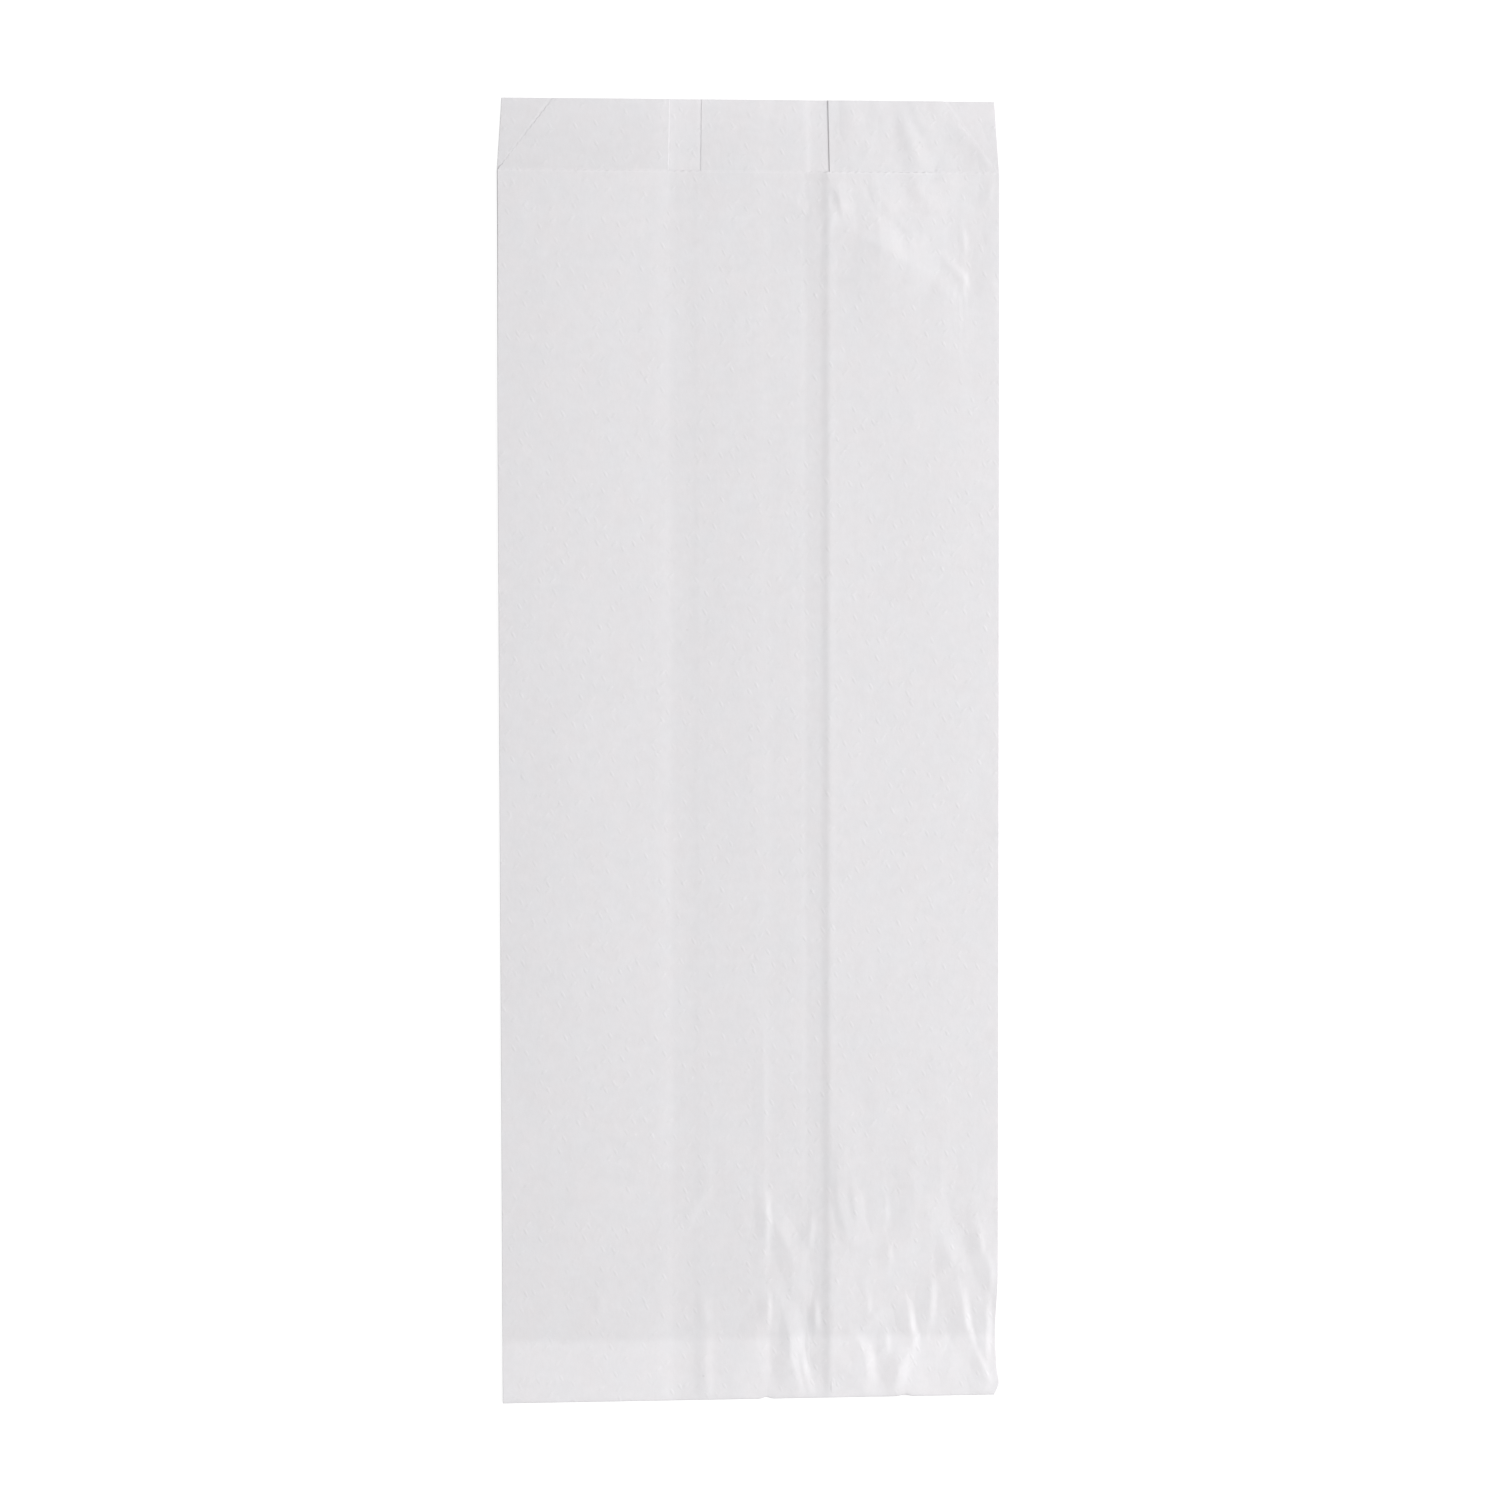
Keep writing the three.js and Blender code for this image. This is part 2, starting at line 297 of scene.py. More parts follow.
# Each crease: its points in millimetres, its height, and the widths of its left and right facets.
# Most lie at the mouth's right corner and over the bottom's right half.
MOUTH_CREASES = (
    ([(20.0, 127.5), (33.0, 120.6), (45.2, 112.6)], 0.75, 14.0, 6.5),
    ([(45.8, 119.4), (48.6, 117.0), (51.4, 114.2), (51.6, 112.2)], 0.3, 5.0, 1.2),
    ([(29.7, 136.5), (36.9, 126.6), (41.6, 122.4)], 0.16, 3.0, 1.2),
    ([(20.4, 140.0), (21.6, 132.0), (22.4, 126.5)], 0.38, 2.0, 8.0),
    ([(29.6, 140.5), (31.0, 134.0), (34.5, 129.0)], 0.3, 3.0, 6.0),
    ([(39.0, 140.5), (40.4, 135.0), (43.6, 130.5)], 0.3, 3.0, 4.5),
    ([(51.2, 126), (51.7, 119.5)], 0.14, 4.0, 0.9),
    ([(16.2, 126.1), (18.5, 126.4)], 0.14, 1.4, 0.9),
    ([(19.7, 125.2), (21.6, 126.6)], 0.16, 1.4, 1.0),
    ([(58.3, 136.5), (57.4, 133)], 0.16, 2.5, 0.9),
    ([(44.5, 103.0), (50.0, 95.0), (51.5, 88.0)], 0.1, 5.0, 3.0),
    ([(38.5, 84.0), (41.0, 78.0)], 0.08, 4.0, 2.0),
)
LIP_CREASES = (
    ([(36.0, 153.6), (38.6, 146), (41.4, 138.4)], 0.34, 3.0, 3.0),
    ([(38.8, 156.6), (40.2, 151.6), (43.4, 148)], 0.2, 2.0, 3.6),
    ([(30.2, 157), (32.6, 149.5)], 0.18, 3.0, 4.0),
    ([(49, 150), (53.5, 147.5), (56.5, 143)], 0.14, 2.6, 1.4),
    ([(21.6, 158), (22.2, 148), (21.8, 138)], 0.08, 2.6, 9.0),
    ([(-38, 153), (-40, 146)], 0.06, 2.4, 1.6),
)
BOTTOM_CREASES = (
    ([(8.2, -136.0), (9.4, -141.4), (9.4, -146.2), (11.6, -153.0)], 0.5, 5.0, 3.4),
    ([(11.4, -143.6), (12.6, -149.0), (14.2, -155.6)], 0.26, 2.0, 1.6),
    ([(7.0, -139.6), (7.8, -146.2)], 0.14, 2.4, 0.9),
    ([(38.0, -133.4), (38.5, -138.6), (39.5, -141.3), (38.7, -144.8)], 0.38, 4.6, 1.5),
    ([(38.6, -144.0), (36.0, -148.6), (34.0, -155.4)], 0.36, 4.0, 2.4),
    ([(35.9, -136.0), (36.4, -142.0)], 0.16, 2.6, 1.2),
    ([(25.0, -140.6), (27.6, -145.6), (28.2, -151.0)], 0.32, 3.6, 2.4),
    ([(27.0, -139.0), (31.0, -136.2)], 0.22, 3.0, 1.5),
    ([(28.1, -131.0), (28.3, -134.8)], 0.16, 2.6, 1.0),
    ([(32.6, -141.0), (32.8, -145.4)], 0.18, 2.6, 1.2),
    ([(44.0, -126.0), (43.6, -132.0), (43.2, -138.6)], 0.26, 4.4, 1.4),
    ([(44.3, -127.2), (48.3, -124.4), (52.2, -124.6)], 0.2, 3.6, 1.8),
    ([(51.0, -130.4), (52.0, -138.8), (54.4, -144.0)], 0.34, 4.6, 1.6),
    ([(54.3, -144.5), (56.4, -148.5), (57.2, -152.6)], 0.28, 3.0, 1.6),
    ([(53.8, -153.4), (57.8, -153.4)], 0.16, 1.6, 0.9),
    ([(58.0, -124.4), (58.2, -130.4)], 0.2, 4.0, 1.3),
    ([(57.2, -131.4), (57.8, -139), (57.3, -147.4)], 0.28, 4.0, 1.5),
    ([(20.6, -100.6), (21.0, -108.0), (23.2, -117.0)], 0.22, 1.8, 3.6),
    ([(24.2, -103.6), (25.6, -113.6)], 0.14, 2.4, 2.6),
    ([(32.4, -106.8), (32.6, -113.6)], 0.18, 4.4, 1.1),
    ([(33.3, -118.6), (33.5, -123.4)], 0.16, 3.0, 1.0),
    ([(55.6, -116.0), (55.9, -121.6)], 0.14, 3.0, 0.9),
    ([(13.8, -119.0), (14.7, -112.2)], 0.2, 2.6, 1.2),
    ([(3.9, -130.6), (4.1, -138.0)], 0.2, 2.8, 1.1),
    ([(15.4, -133.0), (15.5, -138.8)], 0.28, 2.0, 1.2),
    ([(3.0, -66.0), (3.1, -82.0), (3.4, -99.0)], 0.06, 3.0, 1.2),
    ([(3.5, -106.6), (3.7, -113), (3.5, -120.0)], 0.2, 2.8, 1.2),
    ([(-16.0, -114.4), (-14.4, -110.6), (-12.4, -106.4)], 0.2, 3.0, 1.4),
    ([(-12.0, -107.4), (-9.9, -103.6)], 0.16, 2.4, 1.2),
    ([(-11.2, -131.6), (-11.0, -138.2)], 0.2, 2.6, 1.2),
    ([(-36.6, -130.2), (-36.1, -133.0)], 0.14, 2.4, 1.1),
    ([(-10.9, -138.6), (-11.0, -147), (-10.8, -156.2)], 0.2, 3.0, 1.4),
    ([(-20.6, -122.0), (-17.4, -112.0), (-14.8, -104.0)], 0.12, 5.0, 4.0),
    ([(21.5, -86.0), (23.0, -99.0)], 0.12, 3.0, 3.4),
    ([(29.5, -80.0), (31.4, -94.0)], 0.1, 3.0, 3.4),
    ([(38.0, -98.0), (40.0, -108.0)], 0.1, 5.0, 3.0),
    ([(45.0, -86.0), (47.0, -100.0), (44.0, -112.0)], 0.12, 5.0, 3.6),
    ([(54.4, 9.2), (57.6, 9.0)], 0.12, 1.4, 0.9),
)


def ridges(x, y, creases):
    total = np.zeros_like(x)
    for points, height, left_width, right_width in creases:
        total = np.maximum(total, crease(x, y, points, height, left_width, right_width))
    return total


def waves(x, y):
    """The slow unevenness of a sheet that has been folded and handled."""
    return (
        0.030 * np.sin(x / 9.3 + y / 31 + 0.6)
        + 0.030 * np.sin(x / 17 - y / 23 + 2.1)
        + 0.022 * np.sin(y / 11.5 + x / 40)
        + 0.007 * np.sin(x / 3.7 - y / 8.9)
    )


def crumple(x, y):
    """Flat facets with sharp edges between them, strongest where the bag has been handled."""
    heights = np.random.default_rng(5).uniform(-1, 1, (FACET_GRID, FACET_GRID))
    u = (x + 90 + 3.5 * np.sin(y / 13 + 1) + 2.0 * np.sin(x / 7 + y / 9)) / FACET_WIDTH
    v = (y + 190 + 4.0 * np.sin(x / 11) + 2.5 * np.sin(x / 6 - y / 12)) / FACET_LENGTH
    i, j = np.floor(u).astype(int), np.floor(v).astype(int)
    f, g = u - i, v - j
    here_i, here_j = i % FACET_GRID, j % FACET_GRID
    next_i, next_j = (i + 1) % FACET_GRID, (j + 1) % FACET_GRID
    near, right = heights[here_i, here_j], heights[next_i, here_j]
    up, far = heights[here_i, next_j], heights[next_i, next_j]
    lower = near + f * (right - near) + g * (up - near)
    upper = far + (1 - f) * (up - far) + (1 - g) * (right - far)
    at_bottom = smooth(x, -22, 8) * smooth(-y, 88, 118)
    at_mouth = smooth(x, 10, 24) * smooth(y, 100, 122)
    strength = 0.12 + 0.88 * np.maximum(at_bottom, at_mouth)
    return FACET_HEIGHT * strength * np.where(f + g < 1, lower, upper)


def centre_dip(x):
    """How far the front dips between the gussets, with a step at each ply edge under it."""
    left = smooth(x, -GUSSET_FOLD_X, -GUSSET_FOLD_X + 9)
    right = 1 - smooth(x, GUSSET_FOLD_X - 2.4, GUSSET_FOLD_X)
    seam = smooth(x, INNER_LAP_EDGE_X - 0.5, INNER_LAP_EDGE_X + 0.5)
    glue = smooth(x, OUTER_LAP_EDGE_X - GLUE_WIDTH - 1.5, OUTER_LAP_EDGE_X - GLUE_WIDTH + 0.5)
    past = 1 - smooth(x, OUTER_LAP_EDGE_X - 0.6, OUTER_LAP_EDGE_X + 0.6)
    return -DIP_DEPTH * left * right + (SEAM_RISE * seam + GLUE_RISE * glue) * past


def relief(x, y, level):
    """Heights over the smooth fold. Creases lift the top ply only, off the plies under it."""
    in_lip = y > FRONT_TOP_Y + TOOTH_DEPTH
    top_ply = np.where(in_lip, (level > 0.4) * 1.0, (level > 0.9) * 1.0)
    near_edge = smooth(y, TURN_Y - 1, TURN_Y + 2)
    off_cut = np.where(in_lip, 1.0, mix(0.2, 1.0, smooth(FRONT_TOP_Y - y, 0, 6)))
    creased = ridges(x, y, MOUTH_CREASES + BOTTOM_CREASES) * (level > 0.9) * near_edge * off_cut
    lip = ridges(x, y, LIP_CREASES) * smooth(y, FRONT_TOP_Y - 2, FRONT_TOP_Y + 2) * top_ply
    dip = centre_dip(x) * smooth(level, 0.7, 1.0) * near_edge
    off_fold = np.where(in_lip, smooth(np.abs(x), GUSSET_FOLD_X, GUSSET_FOLD_X + 6), off_cut)
    facets = crumple(x, y) * top_ply * near_edge * off_fold
    slow = (waves(x, y) * mix(0.15, 1.0, level) + 0.03 * (1 - level)) * near_edge
    return creased + lip + dip + facets + slow


def pressed_down(x, y, level):
    """How much of the mouth's spring is pressed out again: between the gussets and in the lip."""
    between = 1 - smooth(np.abs(x), GUSSET_FOLD_X, GUSSET_FOLD_X + PRESS_FADE)
    in_lip = smooth(y, FRONT_TOP_Y - 1, FRONT_TOP_Y + 2.5)
    return PRESS_SHARE * np.maximum(between, in_lip)


def sideways(x, y, level):
    """The left fold drawn in at the mouth, and the dented right edge near the bottom."""
    edge = FACE_WIDTH / 2
    left = smooth(-x, edge - SIDE_BAND, edge)
    right = smooth(x, edge - SIDE_BAND, edge)
    draw = left * smooth(y, 75, 128) * (0.12 + 0.14 * level)
    dent = -0.75 * right * np.exp(-(((y + 141) / 9.0) ** 2))
    corner = 0.35 * right * np.exp(-(((y + 152.6) / 1.6) ** 2))
    cut = -0.9 * right * smooth(-y, -BOTTOM_Y - 2.4, -BOTTOM_Y)
    return draw + dent + corner + cut


def notches(x, y):
    """Two small nicks in the bottom edge."""
    depth = 0.45 * np.exp(-(((x - 3.6) / 0.9) ** 2)) + 0.5 * np.exp(-(((x - 37.2) / 1.1) ** 2))
    return depth * (1 - smooth(y, BOTTOM_Y, BOTTOM_Y + 5))


def bag_points():
    """The outer and inner point of each row and column, and the height of each column's cut."""
    rows = path_rows()
    _, flat_a, _, _, top, tooth = whole_section(0.0)
    edge_y = top + tooth
    outer, inner = [], []
    for number, (y, z, out_y, out_z, press) in enumerate(rows):
        x, a, nx, na = whole_section(float(spring_at(y)))[:4]
        upright = number > 0 and out_z == 1.0
        here_y = np.minimum(y, edge_y) if upright else np.full_like(x, y)
        if number == 0:
            here_y = here_y + tooth
        level = a / a.max()
        taper = LIP_TAPER * np.clip((here_y - FRONT_TOP_Y) / LIP_LENGTH, 0, 1)
        flat_x = x * (1 - taper / (FACE_WIDTH / 2))
        base = back_height_at(here_y) if upright else z
        lift = relief(flat_x, here_y, level) if upright else 0.0
        a = mix(a, flat_a, pressed_down(flat_x, here_y, level))
        middle = np.stack(
            [
                flat_x + sideways(flat_x, here_y, level),
                here_y + a * press * out_y + notches(flat_x, here_y),
                base + a * press * out_z + lift,
            ],
            1,
        )
        away = np.stack([nx, na * out_y, na * out_z], 1)
        outer.append(middle + away * PAPER / 2)
        inner.append(middle - away * PAPER / 2)
    return np.array(outer), np.array(inner), edge_y, rows


def bag_faces(outer, inner, edge_y, rows):
    """Vertices and faces of the closed sheet. Rows past a column's cut fall on the cut's point."""
    row_count, count = outer.shape[:2]
    number = np.full((row_count, count), -1)
    points = []
    for c in range(count):
        for r in range(row_count):
            past = r > 0 and rows[r - 1][3] == 1.0 and rows[r - 1][0] >= edge_y[c]
            if past:
                number[r, c] = number[r - 1, c]
            else:
                number[r, c] = len(points)
                points.append((r, c))
    rs, cs = np.array(points).T
    verts = np.concatenate([outer[rs, cs], inner[rs, cs]]) * MM
    half = len(points)
    faces, edges = [], set()
    for c in range(count - 1):
        for r in range(row_count - 1):
            ring = [number[r, c], number[r + 1, c], number[r + 1, c + 1], number[r, c + 1]]
            ring = [int(v) for i, v in enumerate(ring) if v != ring[i - 1]]
            if len(ring) < 3:
                continue
            faces.append(ring)
            faces.append([v + half for v in reversed(ring)])
            edges.update(zip(ring, ring[1:] + ring[:1]))
    rims = sorted([q, p, p + half, q + half] for p, q in edges if (q, p) not in edges)
    return verts, faces, rims


def build_bag():
    verts, faces, rims = bag_faces(*bag_points())
    mesh = bpy.data.meshes.new("bag_sheet")
    mesh.from_pydata(verts.tolist(), [], faces + rims)
    mesh.polygons.foreach_set("use_smooth", [True] * len(faces) + [False] * len(rims))
    rim_edges = {frozenset(side) for q, p, r, t in rims for side in ((q, p), (r, t))}
    sharp = mesh.attributes.new("sharp_edge", "BOOLEAN", "EDGE")
    sharp.data.foreach_set("value", [frozenset(edge.vertices) in rim_edges for edge in mesh.edges])
    mesh.update()
    made = bpy.data.objects.new("bag_sheet", mesh)
    bpy.context.scene.collection.objects.link(made)
    return made


# Materials


def node(tree, kind, **settings):
    made = tree.nodes.new(kind)
    for name, value in settings.items():
        setattr(made, name, value)
    return made


def linear(level):
    """A linear value from an sRGB level of 0 to 255."""
    share = level / 255
    return share / 12.92 if share <= 0.04045 else ((share + 0.055) / 1.055) ** 2.4


def feed(tree, socket, value):
    if isinstance(value, (int, float)):
        socket.default_value = value
    else:
        tree.links.new(value, socket)


def maths(tree, operation, first, second):
    made = node(tree, "ShaderNodeMath", operation=operation)
    feed(tree, made.inputs[0], first)
    feed(tree, made.inputs[1], second)
    return made.outputs[0]


def step(tree, value, low, high, at_low, at_high):
    """A soft step of the value from one level to another."""
    made = node(tree, "ShaderNodeMapRange", interpolation_type="SMOOTHSTEP")
    feed(tree, made.inputs["Value"], value)
    ends = {"From Min": low, "From Max": high, "To Min": at_low, "To Max": at_high}
    for name, setting in ends.items():
        made.inputs[name].default_value = setting
    return made.outputs["Result"]


def ramp(tree, value, stops):
    made = node(tree, "ShaderNodeValToRGB")
    elements = made.color_ramp.elements
    while len(elements) < len(stops):
        elements.new(0.5)
    for element, (place, tone) in zip(elements, stops):
        element.position = place
        element.color = (tone, tone, tone, 1)
    tree.links.new(value, made.inputs[0])
    return made.outputs[0]


def noise(tree, coordinates, scale, detail, stretch=(1, 1, 1)):
    if stretch != (1, 1, 1):
        mapping = node(tree, "ShaderNodeMapping")
        mapping.inputs["Scale"].default_value = stretch
        tree.links.new(coordinates, mapping.inputs["Vector"])
        coordinates = mapping.outputs["Vector"]
    made = node(tree, "ShaderNodeTexNoise")
    made.inputs["Scale"].default_value = scale
    made.inputs["Detail"].default_value = detail
    tree.links.new(coordinates, made.inputs["Vector"])
    return made.outputs["Fac"]


def flecks(tree, coordinates, turn):
    """Short raised fibres, here and there, that lie along one way."""
    mapping = node(tree, "ShaderNodeMapping", vector_type="TEXTURE")
    mapping.inputs["Rotation"].default_value = (0, 0, turn)
    mapping.inputs["Scale"].default_value = (1, 2.4, 1)
    tree.links.new(coordinates, mapping.inputs["Vector"])
    cells = node(tree, "ShaderNodeTexVoronoi", voronoi_dimensions="2D")
    cells.inputs["Scale"].default_value = 420
    tree.links.new(mapping.outputs["Vector"], cells.inputs["Vector"])
    chance = node(tree, "ShaderNodeSeparateColor")
    tree.links.new(cells.outputs["Color"], chance.inputs[0])
    raised = step(tree, cells.outputs["Distance"], 0.02, 0.2, 1.0, 0.0)
    return maths(tree, "MULTIPLY", raised, step(tree, chance.outputs[0], 0.3, 1.0, 0.0, 1.0))


def centred(tree, value, amount):
    """A noise of 0 to 1 as a value about zero of the given size."""
    return maths(tree, "MULTIPLY", maths(tree, "SUBTRACT", value, 0.5), amount)


# The paper's two tints as sRGB levels, how strongly its textures show, and the share of the light
# that comes through it
COOL_LEVELS, WARM_LEVELS = (227.5, 227.5, 230), (229.5, 226.5, 228)
CLOUD_CONTRAST, PULP_CONTRAST, FIBRE_CONTRAST = 0.024, 0.055, 0.05
SEE_THROUGH = 0.27

# Across the bag, in millimetres from its middle: how light the paper looks for the plies under it,
# with painted shade and painted highlight along each fold and ply edge, and painted shade to the
# left
PLY_TONES_AND_PAINTED_SHADE = (
    (-60.0, 0.982),
    (-45.0, 0.988),
    (-23.6, 1.002),
    (-20.6, 1.02),
    (-19.4, 1.02),
    (-18.6, 0.994),
    (-17.4, 0.978),
    (-15.0, 0.968),
    (-12.8, 0.954),
    (-11.7, 0.98),
    (1.0, 0.988),
    (2.6, 1.0),
    (4.0, 1.001),
    (5.6, 0.989),
    (9.5, 0.992),
    (12.5, 1.001),
    (13.3, 0.976),
    (16.0, 0.966),
    (17.2, 0.962),
    (18.4, 0.945),
    (19.1, 0.985),
    (19.8, 1.018),
    (21.4, 1.003),
    (60.0, 1.006),
)
LIP_TONES = (0.996, 0.984)  # between the gussets, and over them
SINGLE_PLY_TONE = 0.992
CUT_TONE = 1.03  # the toothed edges catch the light
FLAP_TONE = 1.05
# Small specks in the front, and three wide patches of painted light where the creased paper is lit
# brighter: place in millimetres, radius, and how light they are
SPECKS_AND_LIT_PATCHES = (
    (35.0, 132.0, 26.0, 1.018),
    (42.0, -132.0, 34.0, 1.02),
    (54.0, 150.0, 12.0, 1.014),
    (-15.1, 30.0, 0.45, 0.93),
    (-39.4, -13.2, 0.4, 0.95),
    (50.4, -114.0, 0.35, 0.94),
    (40.8, 146.2, 0.4, 0.92),
    (41.5, 145.2, 0.3, 0.93),
    (-11.7, -150.0, 0.4, 0.9),
    (-27.8, -91.2, 0.35, 1.06),
    (-44.6, -100.0, 0.3, 1.06),
    (-26.9, -100.1, 0.3, 1.05),
    (-24.7, -105.4, 0.35, 1.05),
    (-34.2, -97.4, 0.3, 1.06),
    (-32.6, -98.0, 0.3, 1.05),
)


def ply_tone_and_painted_light(tree, x, y):
    """How light the paper looks by its place: the plies under it, the flap, the lip's one ply; with
    painted shade and highlight along the folds and ply edges, painted highlights along the toothed
    cuts, and the lip painted lighter towards its top edge, away from the shade of the front's cut.
    """
    across = maths(tree, "DIVIDE", maths(tree, "ADD", x, FACE_WIDTH / 2 * MM), FACE_WIDTH * MM)
    tone = ramp(tree, across, [(px / FACE_WIDTH + 0.5, level) for px, level in PLY_TONES_AND_PAINTED_SHADE])
    flap = step(tree, y, (FLAP_TOP_Y - 1.2) * MM, (FLAP_TOP_Y + 1.2) * MM, FLAP_TONE, 1.0)
    # painted shade: the lip darker near the front's cut, lighter towards its top edge
    lip_painted_light = step(tree, y, (FRONT_TOP_Y + 6) * MM, BACK_TOP_Y * MM, 1.0, 1.02)
    side = maths(tree, "ABSOLUTE", x, 0.0)
    above = step(tree, y, (FRONT_TOP_Y + 0.3) * MM, (FRONT_TOP_Y + 0.8) * MM, 0.0, 1.0)
    lip = step(tree, side, (GUSSET_FOLD_X - 0.6) * MM, (GUSSET_FOLD_X + 0.4) * MM, *LIP_TONES)
    slant = maths(tree, "MULTIPLY", y, DIAGONAL_WIDTH / LIP_LENGTH)
    past = maths(tree, "ADD", side, slant)
    corner = (FACE_WIDTH / 2 + FRONT_TOP_Y * DIAGONAL_WIDTH / LIP_LENGTH) * MM
    slant_edge = step(tree, past, corner - 0.9 * MM, corner - 0.5 * MM, 1.0, CUT_TONE)
    single = step(tree, past, corner - 0.1 * MM, corner + 0.3 * MM, 1.0, SINGLE_PLY_TONE / CUT_TONE)
    lip = maths(tree, "MULTIPLY", maths(tree, "MULTIPLY", lip, slant_edge), single)
    lip = maths(tree, "ADD", maths(tree, "MULTIPLY", maths(tree, "SUBTRACT", lip, 1.0), above), 1.0)
    cut_low = step(tree, y, (FRONT_TOP_Y - 0.5) * MM, (FRONT_TOP_Y - 0.2) * MM, 1.0, CUT_TONE)
    cut_high = step(tree, y, (FRONT_TOP_Y + 0.2) * MM, (FRONT_TOP_Y + 0.4) * MM, 1.0, 1 / CUT_TONE)
    for factor in (flap, lip, lip_painted_light, cut_low, cut_high):
        tone = maths(tree, "MULTIPLY", tone, factor)
    return tone


# Small specks, and wide patches of painted light on the creased paper
def specks_and_lit_patches(tree, x, y, tone):
    flat = node(tree, "ShaderNodeCombineXYZ")
    tree.links.new(x, flat.inputs[0])
    tree.links.new(y, flat.inputs[1])
    for px, py, radius, level in SPECKS_AND_LIT_PATCHES:
        away = node(tree, "ShaderNodeVectorMath", operation="DISTANCE")
        tree.links.new(flat.outputs[0], away.inputs[0])
        away.inputs[1].default_value = (px * MM, py * MM, 0)
        speck_or_lit_patch = step(tree, away.outputs["Value"], 0.3 * radius * MM, radius * MM, level, 1.0)
        tone = maths(tree, "MULTIPLY", tone, speck_or_lit_patch)
    return tone


def paper_material():
    made = bpy.data.materials.new("bag_paper")
    made.use_nodes = True
    tree = made.node_tree
    tree.nodes.clear()
    link = tree.links.new
    place = node(tree, "ShaderNodeTexCoord").outputs["Object"]
    parts = node(tree, "ShaderNodeSeparateXYZ")
    link(place, parts.inputs[0])
    x, y = parts.outputs["X"], parts.outputs["Y"]

    # Colour: the ply tones with their painted shade and highlights, then clouds of denser pulp,
    # fibre flecks, a few specks and wide patches of painted light
    cloud = noise(tree, place, 60, 3.0)
    pulp = noise(tree, place, 330, 4.0)
    fibre = noise(tree, place, 1100, 3.0, (1.0, 0.6, 1.0))
    tone = specks_and_lit_patches(tree, x, y, ply_tone_and_painted_light(tree, x, y))
    for texture, amount in (
        (cloud, CLOUD_CONTRAST),
        (pulp, PULP_CONTRAST),
        (fibre, FIBRE_CONTRAST),
    ):
        tone = maths(tree, "ADD", tone, centred(tree, texture, amount))
    tint = noise(tree, place, 140, 2.0)
    warm = node(tree, "ShaderNodeMix", data_type="RGBA")
    link(tint, warm.inputs["Factor"])
    warm.inputs["A"].default_value = (*[linear(v) for v in COOL_LEVELS], 1)
    warm.inputs["B"].default_value = (*[linear(v) for v in WARM_LEVELS], 1)
    colour = node(tree, "ShaderNodeVectorMath", operation="SCALE")
    link(warm.outputs["Result"], colour.inputs[0])
    link(tone, colour.inputs["Scale"])

    # Surface: fine fibres, the felt's grain, a slight cockle, and crinkles where it was handled
    grain = noise(tree, place, 420, 4.0)
    cockle = noise(tree, place, 110, 2.0)
    crinkle = centred(tree, noise(tree, place, 95, 1.5, (1, 0.55, 1)), 2.0)
    crinkle = maths(tree, "ABSOLUTE", crinkle, 0)
    low_right = step(tree, x, -20 * MM, 10 * MM, 0, 1)
    low = maths(tree, "MULTIPLY", low_right, step(tree, y, -120 * MM, -80 * MM, 1, 0))
    high_right = step(tree, x, 5 * MM, 24 * MM, 0, 1)
    high = maths(tree, "MULTIPLY", high_right, step(tree, y, 100 * MM, 122 * MM, 0, 1))
    handled = maths(tree, "ADD", maths(tree, "MAXIMUM", low, high), 0.16)
    crinkle = maths(tree, "MULTIPLY", crinkle, handled)
    fleck = maths(tree, "ADD", flecks(tree, place, 0.5), flecks(tree, place, -0.9))
    height = maths(tree, "MULTIPLY", fibre, 0.5)
    for texture, amount in ((grain, 1.0), (cockle, 2.2), (crinkle, 7.0), (fleck, 1.4)):
        height = maths(tree, "ADD", height, maths(tree, "MULTIPLY", texture, amount))
    bump = node(tree, "ShaderNodeBump")
    bump.inputs["Strength"].default_value = 0.5
    bump.inputs["Distance"].default_value = 0.00005
    link(height, bump.inputs["Height"])
    rough = maths(tree, "ADD", centred(tree, grain, 0.2), 0.44)

    sheen = node(tree, "ShaderNodeBsdfPrincipled")
    sheen.inputs["IOR"].default_value = 1.45
    link(colour.outputs[0], sheen.inputs["Base Color"])
    link(rough, sheen.inputs["Roughness"])
    link(bump.outputs[0], sheen.inputs["Normal"])
    through = node(tree, "ShaderNodeBsdfTranslucent")
    link(colour.outputs[0], through.inputs["Color"])
    link(bump.outputs[0], through.inputs["Normal"])
    both = node(tree, "ShaderNodeMixShader")
    both.inputs[0].default_value = SEE_THROUGH
    link(sheen.outputs[0], both.inputs[1])
    link(through.outputs[0], both.inputs[2])
    out = node(tree, "ShaderNodeOutputMaterial")
    link(both.outputs[0], out.inputs["Surface"])
    return made


# Floor, light and camera

FLOOR_SIZE = 40
FLOOR_GAP = 0.0002  # below the bag
FLOOR_TONE = 0.25
FLOOR_GLOW = 0.84  # what the floor shows the camera past its lit colour, so that it is white


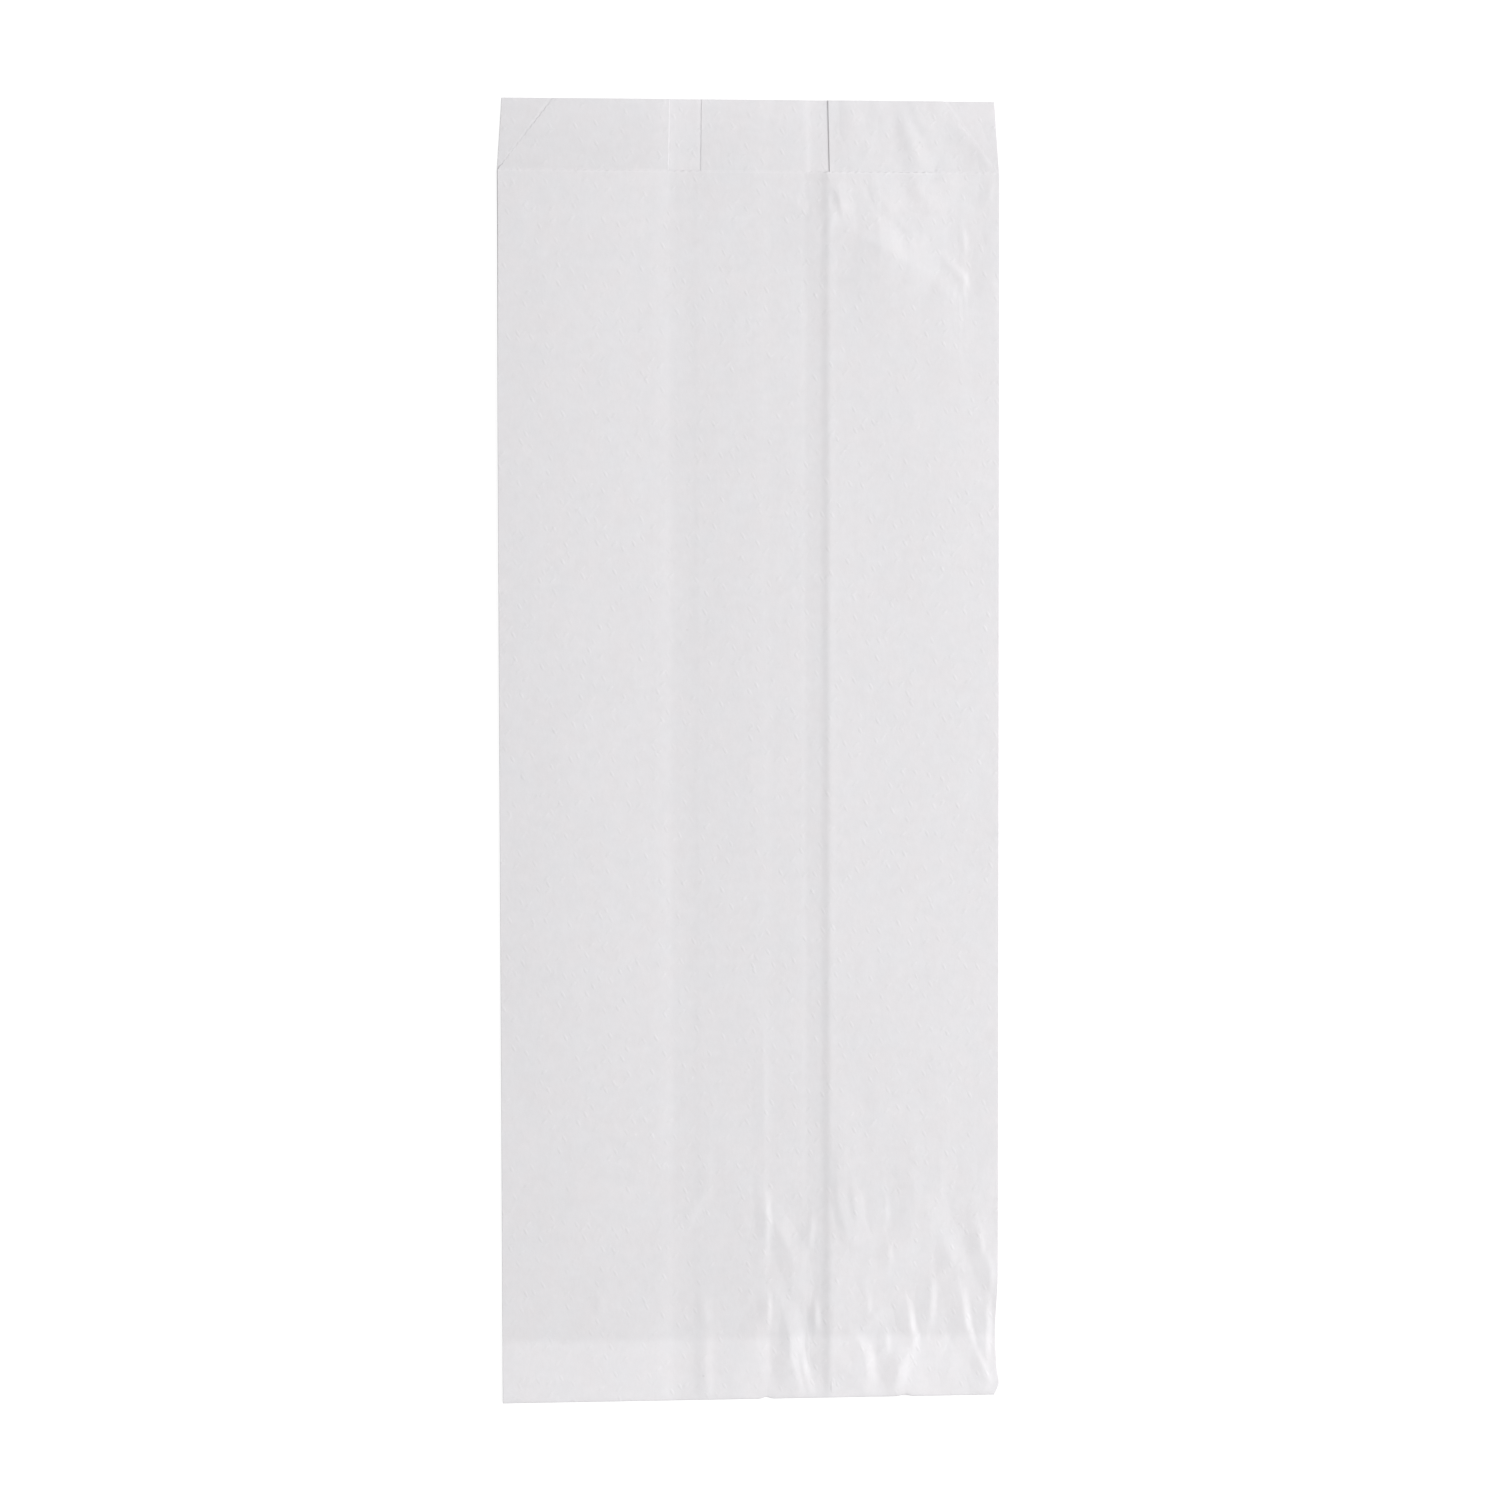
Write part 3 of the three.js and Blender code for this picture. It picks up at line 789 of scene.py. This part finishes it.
def add_floor():
    bpy.ops.mesh.primitive_plane_add(size=FLOOR_SIZE, location=(0, 0, -FLOOR_GAP))
    made = bpy.context.object
    made.name = "floor"
    paint = bpy.data.materials.new("floor")
    paint.use_nodes = True
    tree = paint.node_tree
    tree.nodes.clear()
    diffuse = node(tree, "ShaderNodeBsdfDiffuse")
    diffuse.inputs["Color"].default_value = (FLOOR_TONE, FLOOR_TONE, FLOOR_TONE, 1)
    glow = node(tree, "ShaderNodeEmission")
    path = node(tree, "ShaderNodeLightPath")
    seen = maths(tree, "ADD", path.outputs["Is Camera Ray"], path.outputs["Is Glossy Ray"])
    seen = maths(tree, "ADD", seen, path.outputs["Is Transmission Ray"])
    tree.links.new(maths(tree, "MULTIPLY", seen, FLOOR_GLOW), glow.inputs["Strength"])
    both = node(tree, "ShaderNodeAddShader")
    tree.links.new(diffuse.outputs[0], both.inputs[0])
    tree.links.new(glow.outputs[0], both.inputs[1])
    out = node(tree, "ShaderNodeOutputMaterial")
    tree.links.new(both.outputs[0], out.inputs["Surface"])
    made.data.materials.append(paint)


def add_world(strength):
    """An even light, which the camera sees as white."""
    made = bpy.data.worlds.new("studio")
    bpy.context.scene.world = made
    made.use_nodes = True
    background = made.node_tree.nodes["Background"]
    background.inputs["Color"].default_value = (1, 1, 1, 1)
    tree = made.node_tree
    seen = node(tree, "ShaderNodeLightPath").outputs["Is Camera Ray"]
    shown = maths(tree, "ADD", maths(tree, "MULTIPLY", seen, 1 - strength), strength)
    tree.links.new(shown, background.inputs["Strength"])


def add_lamp(name, place, size, power):
    data = bpy.data.lights.new(name, "AREA")
    data.size = size
    data.energy = power
    made = bpy.data.objects.new(name, data)
    made.location = place
    made.rotation_euler = (-Vector(place)).to_track_quat("-Z", "Y").to_euler()
    bpy.context.scene.collection.objects.link(made)


WORLD_STRENGTH = 0.7
KEY_PLACE, KEY_SIZE, KEY_POWER = (1.75, 0.1, 1.4), 1.4, 52.8

# The photograph's camera looks down from a little to the left of the bag and above its middle.
CAMERA_DISTANCE = 0.70
CAMERA_LENS = 70.1
CAMERA_TURNS = (("Y", -3.519), ("X", -2.215), ("Z", -0.12))
CAMERA_OFFSET = (-0.00013, 0.00123)
CAMERA_AIM_HEIGHT = 0.001


def add_camera():
    data = bpy.data.cameras.new("camera")
    data.lens = CAMERA_LENS
    data.sensor_width = 36
    data.clip_start, data.clip_end = 0.01, 20
    made = bpy.data.objects.new("camera", data)
    turned = Matrix.Identity(4)
    for axis, degrees in CAMERA_TURNS:
        turned = turned @ Matrix.Rotation(math.radians(degrees), 4, axis)
    away = turned @ Vector((*CAMERA_OFFSET, CAMERA_DISTANCE))
    made.matrix_world = Matrix.Translation(away + Vector((0, 0, CAMERA_AIM_HEIGHT))) @ turned
    bpy.context.scene.collection.objects.link(made)
    bpy.context.scene.camera = made


add_camera()
bpy.context.scene.view_settings.view_transform = "Standard"
add_floor()
add_world(WORLD_STRENGTH)
add_lamp("key", KEY_PLACE, KEY_SIZE, KEY_POWER)

bag = build_bag()
bag.data.materials.append(paper_material())
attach(bag, "root")
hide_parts("paper_bag")
